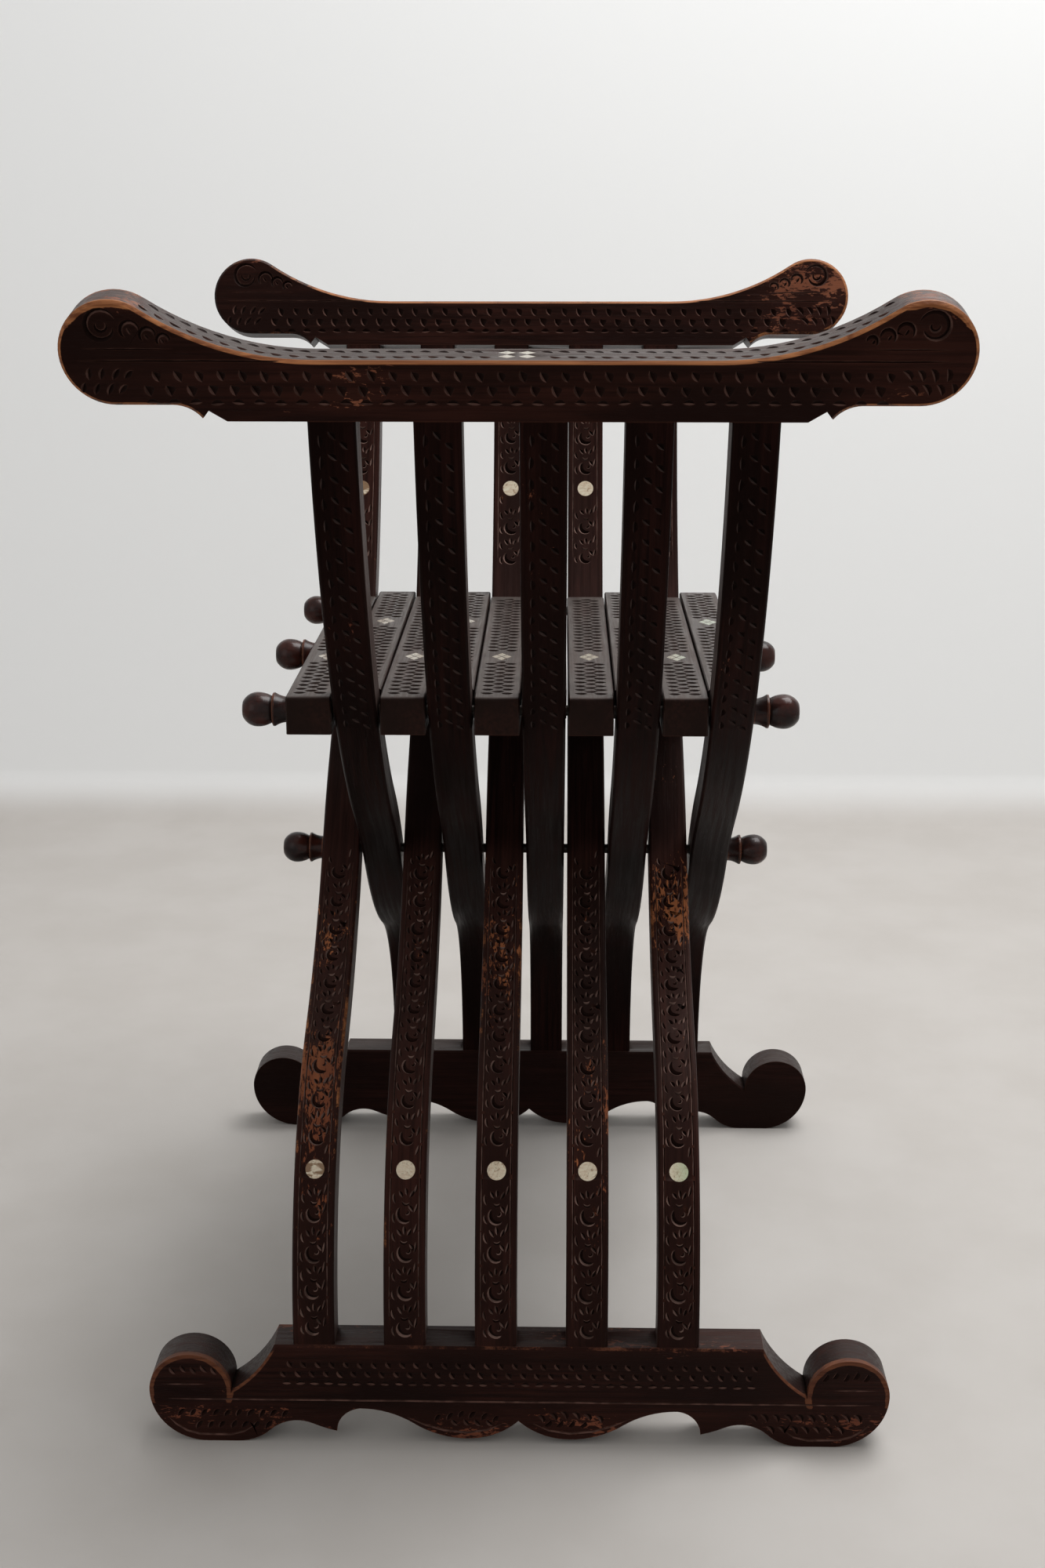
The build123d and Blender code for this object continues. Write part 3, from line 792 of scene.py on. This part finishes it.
def makePearl(name, tones):
    # Mother-of-pearl, which has turned brown towards the rear slat and green at the front one
    material, tree, shader = newMaterial(name)
    place = objectPlace(tree)
    parts = splitVector(place)
    growth = noise(place, (260.0, 420.0, 700.0), 4.0, 0.6, 1.5)
    colour = mixColour(ramp(growth, 0.35, 0.65), tones["milk"], tones["rose"])
    greenSide = ramp(parts["X"], 0.085, 0.100)
    colour = mixColour(times(greenSide, 0.75), colour, tones["green"])
    sheet = ramp(noise(place, (120.0, 120.0, 260.0), 2.0, 0.5, 0.6), 0.44, 0.52)
    brownSide = ramp(parts["X"], -0.085, -0.100)
    colour = mixColour(times(brownSide, sheet), colour, tones["brown"])
    spots = ramp(noise(place, 420.0, 5.0, 0.6, 0.8), 0.54, 0.70)
    colour = mixColour(times(spots, 0.75), colour, tones["brown"])
    slanted = joined("CombineXYZ", 0, {"X": plus(parts["X"], times(parts["Z"], -0.6))})
    cracks = ramp(noise(slanted, 900.0, 1.0), 0.62, 0.68, 0.0, 0.5)
    feed(shader, {
        "Base Color": mixColour(cracks, colour, tones["brown"]),
        "Roughness": ramp(growth, 0.3, 0.7, 0.22, 0.42), "Coat Weight": 0.2, "Coat Roughness": 0.2,
    })
    addBump(shader, growth, 0.15, 0.0002)
    return material


discTones = {
    "milk": (0.66, 0.60, 0.46, 1),
    "rose": (0.52, 0.40, 0.28, 1),
    "green": (0.34, 0.44, 0.27, 1),
    "brown": (0.20, 0.115, 0.055, 1),
}
# The tiles' pearl is the discs' pearl painted darker, painted shade against the strong light that falls on
# the inlays
shadedTileTones = {
    "milk": (0.36, 0.34, 0.28, 1),
    "rose": (0.28, 0.23, 0.18, 1),
    "green": (0.24, 0.28, 0.21, 1),
    "brown": (0.12, 0.085, 0.055, 1),
}
turnedWood = makeTurnedWood()
rodIron = makeIron()
discPearl = makePearl("discPearl", discTones)
shadedTilePearl = makePearl("shadedTilePearl", shadedTileTones)
print("materials made")


# Carved bands

braid = {
    "pitch": 10.4,
    "rows": (23.0, 15.6),
    "firstAt": 0.7,  # in pitches
    "stagger": 0.45,
    "dashRow": 9.4,
    "dashLength": 0.62,  # in pitches
    "dashWidths": (0.8, 2.2),
    "dashDepth": 0.7,  # as a share of the chips' depth
    "length": 6.4,
    "angle": 117,
    "bend": -30,
    "bright": 1.1,  # a chip's width on its light side, and on its dark side in each row
    "dark": (3.2, 4.2),
    "depth": 1.8,
}
slatBraid = dict(
    braid, pitch=11.2, rows=(-0.6, 5.4), dashRow=-6.6, length=6.0, angle=136, bend=-24,
    dark=(2.5, 2.5), bright=0.8, depth=1.3,
)
footBraid = dict(
    braid, pitch=8.1, rows=(51.4, 45.2), dashRow=39.2, length=5.2, angle=124, bend=-70,
    dark=(2.8, 3.2), bright=1.0, depth=1.5,
)


def braidBand(face, band, start, end, upright=False):
    # Two staggered rows of leaning chips and a row of dashes beside them
    count = int((end - start) / band["pitch"])
    pitch = (end - start) / count

    def centre(along, across):
        return (across, along) if upright else (along, across)

    for index in range(count):
        for row, across in enumerate(band["rows"]):
            place = index + band["firstAt"] - band["stagger"] * row
            middle = centre(start + place * pitch, across)
            section = (band["bright"], band["dark"][row], band["depth"])
            stroke(face, middle, band["length"], band["angle"], band["bend"], section)
        middle = centre(start + (index + 0.5) * pitch, band["dashRow"])
        section = (*band["dashWidths"], band["depth"] * band["dashDepth"])
        stroke(face, middle, pitch * band["dashLength"], 90 if upright else 180, 0, section)


scroll = {
    "repeat": 21.5,
    "eye": 4.6,
    "eyeCut": (1.0, 2.0, 1.5),
    "pupilCut": (0.6, 0.8, 0.9),
    "leaf": 4.6,
    "leafCut": (1.0, 1.2, 1.5),
    "blades": ((-2.6, 0.2, 125), (0.4, 1.3, 95), (3.4, 0.4, 62)),  # aside, ahead and heading
    "stemCut": (0.8, 0.9, 1.0),
    "border": 6.6,
    "borderCut": (1.0, 0.9, 1.2),
    "edge": 8.5,
    "sway": 0.5,
}


def scrollBand(face, start, end, plainAt, plainHalf):
    # A running vine: hooked eyes with a leaf between each two, and a chip at either side,
    # inside two scored lines. It stops short of a disc, in the plain stretch about plainAt.
    count = max(1, round((end - start) / scroll["repeat"]))
    pitch = (end - start) / count

    def isPlain(along, reach):
        return abs(along - plainAt) < plainHalf + reach or not start + reach < along < end - reach

    for index in range(count):
        along = start + (index + 0.3) * pitch + jitter(scroll["sway"])
        sway = jitter(scroll["sway"])
        if not isPlain(along, scroll["eye"]):
            ring(face, (0.6 + sway, along), scroll["eye"], 318, -185, scroll["eyeCut"], 10)
            ring(face, (1.6 + sway, along + 1.0), 1.3, 60, -200, scroll["pupilCut"], 6)
            stroke(face, (3.9 + sway, along + 3.2), 4.4, 128, 30, scroll["leafCut"])
        leaf = along + pitch * 0.5
        if not isPlain(leaf, scroll["leaf"]):
            ring(face, (0.2 - sway, leaf - 3.3), 2.2, 200, 140, scroll["stemCut"], 6)
            for aside, ahead, heading in scroll["blades"]:
                centre = (aside - sway, leaf + ahead)
                stroke(face, centre, scroll["leaf"], heading, 16, scroll["leafCut"])
        for share in (0.02, 0.5):
            for border in (-1, 1):
                chip = along + pitch * (share + 0.12 * border)
                if not isPlain(chip, 1.5):
                    centre = (border * scroll["border"], chip)
                    stroke(face, centre, 6.0, 90 - 14 * border, 40 * border, scroll["borderCut"])
    for border in (-1, 1):
        edge = border * scroll["edge"]
        scored(face, start, end, edge, 0.8, 0.6, upright=True, spacing=16, waver=0.1)


# Frame slats

# Height, spread and amount of the patches that have lost most of their stain
slatWear = {
    right: {0: (478, 26, 0.9), 2: (500, 70, 0.45), 4: (440, 30, 0.4)},
    left: {0: (215, 62, 1.0), 1: (150, 90, 0.3), 2: (245, 42, 0.95), 3: (185, 60, 0.4), 4: (268, 40, 0.9)},
}
discRoom = 7.5  # half of the plain stretch at a disc


def carveFrameSlat(side, index):
    tool = newTool()
    pivot = slatLine["pivotHeight"]
    upperDisc = alongAtRise(upperHalf, slatLine["upperDisc"] - pivot)
    carvedFrom = alongAtRise(upperHalf, slatLine["carvedFrom"] - pivot)
    inner = (tool, slatFace(side, index, True, 1))
    scrollBand(inner, carvedFrom, upperHalf["length"] - 5, upperDisc, discRoom)
    outer = (tool, slatFace(side, index, True, -1))
    braidBand(outer, slatBraid, carvedFrom - 35, upperHalf["length"] - 4, upright=True)
    lowerDisc = lowerHalf["length"] - alongAtRise(lowerHalf, pivot - slatLine["lowerDisc"])
    lower = (tool, slatFace(side, index, False, 1))
    scrollBand(lower, 4, lowerHalf["length"] - 8, lowerDisc, discRoom)

    def grainOf(point):
        # The grain bends with the slat, so its place is found along the nearer half
        u = point.x - slatPlace(side, index) * mm
        y, z = point.y * side / mm, point.z / mm - pivot
        half, sign = (upperHalf, 1) if z > 0 else (lowerHalf, -1)

        def isAhead(along):
            reach, rise, lean = halfPoint(half, along)
            return (y * sign - reach) * cos(lean) + (z * sign - rise) * sin(lean) > 0

        along = lastAlong(half, 16, isAhead)
        reach, rise, lean = halfPoint(half, along)
        shift = sign * (-(y * sign - reach) * sin(lean) + (z * sign - rise) * cos(lean))
        return (sign * along * mm + index * 0.5 + side, u, shift * mm)

    def wornOf(point):
        height, spread, amount = slatWear[side].get(index, (0, 1, 0))
        worn = amount * exp(-(((point.z - height) / spread) ** 2))
        return worn, 0.6 * worn

    board = {
        "axis": Vector((1, 0, 0)), "middle": slatPlace(side, index), "half": slatLine["width"] / 2,
        "chamferFrom": 10.5, "rounding": 0.5,
    }
    carve(f"{sideNames[side]}_frame_slat_{index + 1}", tool, board, grainOf, wornOf, slatWood[side])


for side in (right, left):
    for index in range(slatLine["count"]):
        carveFrameSlat(side, index)
print("frame slats carved")


# Arms

arm = {
    "half": 225.8,
    "depth": 22.0,
    "waist": 31.0,
    "slopeRun": 99.3,
    "lobeRadius": 26.5,
    "lobeHeight": 34.5,
    "braidEnd": 186,
    "lines": ((96, 217, 31.0, 0.9, 0.7), (168, 214, 37.0, 0.8, 0.5)),  # start, end, height, width, depth
    "scroll": (203, 48.5),
    "trail": ((14.0, -2.5, 4.4), (22.5, -5.0, 3.8), (30.0, -7.4, 3.0)),  # back, rise and radius
    "leaf": (192, 24.5),
    "leafCount": 4,
    "leafCut": (1.0, 2.2, 1.5),
    "topPitch": 8.6,
    "topRow": 3.9,
    "topPlain": 14,
    "topCut": (0.7, 2.3, 1.5),
}


def lobeScroll(face, centre, hand):
    # A curled leaf in a lobe, with crescents that trail towards the middle. hand is 1 at the +u end.
    x, y = centre
    ring(face, centre, 8.2, 90 + 70 * hand, -330 * hand, (0.9, 1.9, 1.5), 16, endRadius=6.0)
    ring(face, centre, 2.6, 90 - 60 * hand, -250 * hand, (0.7, 1.1, 1.2), 8)
    for back, rise, size in arm["trail"]:
        curl = (x - hand * back, y + rise)
        ring(face, curl, size, 90 + 95 * hand, -235 * hand, (0.8, 1.5, 1.4))
        dot = (curl[0] + hand * 0.6, curl[1] - 0.4)
        stroke(face, dot, size * 0.9, 90 - 30 * hand, 0, (0.6, 0.9, 1.1))


def lobeLeaves(face, start, height, hand, count):
    # Overlapping leaf cuts under the scored line of a lobe
    for index in range(count):
        for row in (0, 1):
            centre = (start + hand * (index + 0.5 * row) * 6.6, height - row * 7.4)
            stroke(face, centre, 7.4, 90 + hand * (46 - 12 * index), 60 * hand, arm["leafCut"])


def progress(value, start, run):
    # How far a value has come along this run, from 0 to 1
    return max(0, min(1, (value - start) / run))


def carveArm(side):
    tool = newTool()
    up = Vector((0, side * cos(armLean), sin(armLean)))
    middle = Vector((0, side * slatLine["armReach"], slatLine["armHeight"]))
    for facing in (-1, 1):
        across = Vector((facing * side, 0, 0))
        out = across.cross(up)
        face = (tool, flatPlace(middle + out * arm["depth"] / 2, across, up))
        braidBand(face, braid, -arm["braidEnd"], arm["braidEnd"])
        for hand in (-1, 1):
            for near, far, height, width, depth in arm["lines"]:
                start, end = sorted((hand * near, hand * far))
                scored(face, start, end, height, width, depth)
            lobeScroll(face, (hand * arm["scroll"][0], arm["scroll"][1]), hand)
            lobeLeaves(face, hand * arm["leaf"][0], arm["leaf"][1], hand, arm["leafCount"])

    # Two rows of small dashes along the top, which dips from lobe to lobe
    step = arm["waist"] - arm["lobeHeight"]
    span = arm["slopeRun"] ** 2 + step ** 2 - arm["lobeRadius"] ** 2
    hollow = span / (2 * (arm["lobeRadius"] - step))
    flat = arm["half"] - arm["lobeRadius"] - arm["slopeRun"]
    turn = asin(arm["slopeRun"] / (hollow + arm["lobeRadius"]))
    out = Vector((0, -side * sin(armLean), cos(armLean)))

    def topPlace(u, v, w):
        along = abs(u)
        hand = 1 if u > 0 else -1
        if along < flat:
            x, y, lean = along, arm["waist"] + w, 0
        elif along < flat + hollow * turn:
            lean = (along - flat) / hollow
            x = flat + (hollow - w) * sin(lean)
            y = arm["waist"] + hollow - (hollow - w) * cos(lean)
        else:
            lean = turn - (along - flat - hollow * turn) / arm["lobeRadius"]
            x = arm["half"] - arm["lobeRadius"] - (arm["lobeRadius"] + w) * sin(lean)
            y = arm["lobeHeight"] + (arm["lobeRadius"] + w) * cos(lean)
        return (middle + Vector((hand * x, 0, 0)) + up * y - out * v * side) * mm

    reach = flat + hollow * turn
    for index in range(int(2 * reach / arm["topPitch"])):
        for row in (-1, 1):
            along = -reach + (index + 0.5 + 0.25 * row) * arm["topPitch"]
            if abs(along) > arm["topPlain"]:
                centre = (along, row * arm["topRow"])
                stroke((tool, topPlace), centre, 6.4, 180 * (row > 0) - 14, 10, arm["topCut"])

    def grainOf(point):
        offset = point / mm - middle
        return (point.x + side, offset.dot(out) * mm, offset.dot(up) * mm)

    def wornOf(point):
        height = (point - middle).dot(up)
        lobeTop = progress(height, 52, 6)
        frontLobe = progress(point.x, 150, 25) * (0.9 if side == left else 0.45)
        if side == right:
            rubbedSpot = 0.75 * exp(-(((point.x + 80) / 34) ** 2)) if height < 27 else 0
            return max(lobeTop, frontLobe, rubbedSpot), 1 if height > 12 else 0.35
        return max(lobeTop, frontLobe), (0.7 if height > 12 else 0.15) * progress(point.x, -190, 60)

    board = {
        "axis": out, "middle": middle.dot(out), "half": arm["depth"] / 2,
        "chamferFrom": 9.0, "rounding": 0.8,
    }
    carve(f"{sideNames[side]}_arm", tool, board, grainOf, wornOf, armWood)


for side in (right, left):
    carveArm(side)
print("arms carved")


# Feet

foot = {
    "half": 12.0,
    "braidEnd": 140,
    "line": (207, -207, 28.3, 1.5, 0.7),  # start, end, height, width and depth
    "lobeLine": (183, 210, 38.0, 1.3, 0.6),
    "arcs": (
        (
            (206.2, 15.6), (201.9, 11.3), (195.6, 7.2), (188.3, 4.9), (170.0, 4.6), (162.0, 6.6),
            (156.0, 10.5),
        ),
        ((66.0, 17.5), (56.0, 13.0), (44.0, 9.0), (30.0, 7.3), (18.0, 9.5), (8.0, 14.0)),
    ),
    "arcCut": (0.9, 0.5, 0.7),
    "leafPitch": 6.8,
    "leafCut": (0.9, 2.2, 1.5),
    "lobeCut": (0.9, 2.0, 1.4),
    "dropCut": (0.9, 1.9, 1.4),
}


def carveFoot(side):
    # The foot under this side's frame, carved on its outer face. It stands on the other side.
    tool = newTool()
    middle = Vector((0, -side * slatLine["footReach"], 0))
    outerFace = middle - Vector((0, side * foot["half"], 0))
    face = (tool, flatPlace(outerFace, Vector((side, 0, 0)), Vector((0, 0, 1))))
    braidBand(face, footBraid, -foot["braidEnd"], foot["braidEnd"])
    scored(face, *foot["line"])
    for hand in (-1, 1):
        near, far, height, width, depth = foot["lobeLine"]
        end, start = sorted((hand * near, hand * far))
        scored(face, start, end, height, width, depth)
        for arc in foot["arcs"]:
            path = [(hand * x, v + jitter(0.2)) for x, v in arc][::hand]
            gouge(face, path, foot["arcCut"], taper=0.3)

        def leaf(x, height, length, lean, bend, section):
            stroke(face, (hand * x, height), length, 90 + lean * hand, bend * hand, section)

        for index in range(5):
            leaf(179 + 6 * index, 46.5 + 1.5 * (index % 2), 6.0, -30, 60, foot["lobeCut"])
        for index in range(10):
            leaf(138 + foot["leafPitch"] * index, 19.6, 7.0, 40, 70, foot["leafCut"])
            if 0 < index < 8:
                leaf(138 + foot["leafPitch"] * (index + 0.5), 11.6, 7.0, 40, 70, foot["leafCut"])
        for index in range(6):
            height = 20.3 - 1.2 * abs(index - 2.5)
            leaf(14 + foot["leafPitch"] * index, height, 6.6, 40, 70, foot["leafCut"])
            if 0 < index < 5:
                leaf(11 + foot["leafPitch"] * index, 13.4, 6.0, -40, 70, foot["dropCut"])

    def grainOf(point):
        return (point.x + side * 2, point.y - middle.y * mm, point.z)

    def wornOf(point):
        low = progress(-point.z, -27, 4)
        shoulder = progress(point.z, 58, 4) * 0.6
        onOuterFace = (middle.y - point.y) * side > 0
        if side == left:
            bare = (0.35 if point.z > 60 else 1) if onOuterFace else 0.2
            return max(0.8 * low, shoulder), bare
        # On the far foot most wear is left out, painted shade like its darker stain
        return max(0.8 * low, shoulder) * 0.2, 0.2

    board = {
        "axis": Vector((0, 1, 0)), "middle": middle.y, "half": foot["half"],
        "chamferFrom": 10.5, "rounding": 0.6, "softOutline": True,
    }
    carve(f"{sideNames[-side]}_foot", tool, board, grainOf, wornOf, footWood[side])


for side in (right, left):
    carveFoot(side)
print("feet carved")


# Seat slats

seat = {
    "height": 437.0,
    "outerCut": 146.8,  # how far out and in the cuts go from the middle of the chair
    "innerCut": 128.0,
    "lozenge": 52.0,
    "plainHalf": 14.0,
    "width": 25.5,
    "pitch": 9.0,
    "columnStep": 5.7,
    "firstAt": (0.25, 0.75, 0.25),  # of each column, in pitches
    "turn": (-9, 12, -9),
    "bend": (-14, 0, 14),
    "length": 7.6,
    "cut": (1.8, 3.1, 2.0),
}


def carveSeatSlat(side, index):
    # Three staggered rows of small cuts along the top, plain around the lozenge
    tool = newTool()
    middle = slatPlace(-side, index)
    origin = Vector((middle, 0, seat["height"]))
    face = (tool, flatPlace(origin, Vector((1, 0, 0)), Vector((0, 1, 0))))
    start, end = sorted((side * seat["outerCut"], -side * seat["innerCut"]))
    count = int((end - start) / seat["pitch"])
    pitch = (end - start) / count
    for step in range(count):
        for column, (firstAt, turn, bend) in enumerate(zip(seat["firstAt"], seat["turn"], seat["bend"])):
            along = start + (step + firstAt) * pitch
            if abs(along - side * seat["lozenge"]) > seat["plainHalf"]:
                centre = ((column - 1) * seat["columnStep"], along)
                stroke(face, centre, seat["length"], turn, bend, seat["cut"])

    def grainOf(point):
        return (point.y + index, point.x - middle * mm, point.z - seat["height"] * mm)

    def wornOf(point):
        return 0, 0

    board = {
        "axis": Vector((1, 0, 0)), "middle": middle, "half": seat["width"] / 2,
        "chamferFrom": 11.5, "rounding": 0.3,
    }
    carve(f"{sideNames[side]}_seat_slat_{index + 1}", tool, board, grainOf, wornOf, seatWood)


for side in (right, left):
    for index in range(slatLine["count"]):
        carveSeatSlat(side, index)
print("seat slats carved")


# Pieces that keep their CAD form and get their finish here, by the end of their name

finishes = {"knob": turnedWood, "rod": rodIron, "pins": rodIron, "discs": discPearl, "inlay": shadedTilePearl}
for nodeName, node in frame["nodes"].items():
    for ending, material in finishes.items():
        if nodeName.endswith(ending):
            node.data.materials.clear()
            node.data.materials.append(material)
            for polygon in node.data.polygons:
                polygon.material_index = 0
print("knobs, rods and inlay finished")


# Floor and wall, one plain sheet with a soft corner

room = {
    "wallAt": 1.03,
    "corner": 0.05,
    "cornerSteps": 8,
    "floorFront": -4.0,
    "wallTop": 4.0,
    "half": 4.0,
    "floorColour": (0.43, 0.405, 0.38, 1),
    "wallColour": (0.90, 0.91, 0.91, 1),
    "roughness": 0.6,
    "shine": 0.25,
}


def makePaper():
    # Seen from behind, the sheet isn't there
    material, tree, shader = newMaterial("plainPaper")
    place = objectPlace(tree)
    climb = ramp(splitVector(place)["Z"], 0.0, room["corner"])
    mottle = ramp(noise(place, 9.0, 4.0), 0.3, 0.7, 0.0, 0.06)
    floorColour = mixColour(mottle, room["floorColour"], room["wallColour"])
    feed(shader, {
        "Base Color": mixColour(climb, floorColour, room["wallColour"]),
        "Roughness": room["roughness"], "Specular IOR Level": room["shine"],
    })
    clear = addNode(tree, "BsdfTransparent").outputs[0]
    halves = {0: surface(tree, "Backfacing"), 1: shader.outputs["BSDF"], 2: clear}
    feed(tree.nodes["Material Output"], {"Surface": joined("MixShader", 0, halves)})
    return material


def makeRoom():
    profile = [(room["floorFront"], 0.0)]
    for step in range(room["cornerSteps"] + 1):
        turn = pi / 2 * step / room["cornerSteps"]
        y = room["wallAt"] - room["corner"] + room["corner"] * sin(turn)
        profile.append((y, room["corner"] * (1 - cos(turn))))
    profile.append((room["wallAt"], room["wallTop"]))
    points = [(x, y, z) for x in (-room["half"], room["half"]) for y, z in profile]
    count = len(profile)
    faces = [(i, i + count, i + count + 1, i + 1) for i in range(count - 1)]
    mesh = bpy.data.meshes.new("room")
    mesh.from_pydata(points, [], faces)
    for polygon in mesh.polygons:
        polygon.use_smooth = True
    mesh.materials.append(makePaper())
    backdrop = addToScene("room", mesh)


makeRoom()


# Light and camera

light = {
    "world": 0.52,
    "worldColour": (1.0, 0.99, 0.98, 1),
    "aim": (0, 0, 0.3),
    "key": {"place": (0.75, 0.35, 2.3), "size": 1.3, "power": 50.0},
    "fill": {"place": (-1.6, -1.8, 1.3), "size": 1.6, "power": 4.0},
}
view = {"sensor": 36, "lens": 45.88, "place": (0.021, -1.24, 0.709), "pitch": 16.54, "yaw": 1.045}


def addArea(name):
    data = bpy.data.lights.new(name, "AREA")
    data.shape = "SQUARE"
    data.size = light[name]["size"]
    data.energy = light[name]["power"]
    lamp = addToScene(name, data)
    lamp.location = light[name]["place"]
    heading = Vector(light["aim"]) - Vector(light[name]["place"])
    lamp.rotation_euler = heading.to_track_quat("-Z", "Y").to_euler()


world = bpy.data.worlds.new("softWorld")
bpy.context.scene.world = world
world.use_nodes = True
world.node_tree.nodes["Background"].inputs["Color"].default_value = light["worldColour"]
world.node_tree.nodes["Background"].inputs["Strength"].default_value = light["world"]
addArea("key")
addArea("fill")

camera = addToScene("camera", bpy.data.cameras.new("camera"))
camera.data.sensor_width = view["sensor"]
camera.data.lens = view["lens"]
camera.location = view["place"]
camera.rotation_euler = (radians(90 - view["pitch"]), 0, radians(view["yaw"]))
bpy.context.scene.camera = camera
bpy.context.scene.view_settings.view_transform = "Standard"
print("stage set")
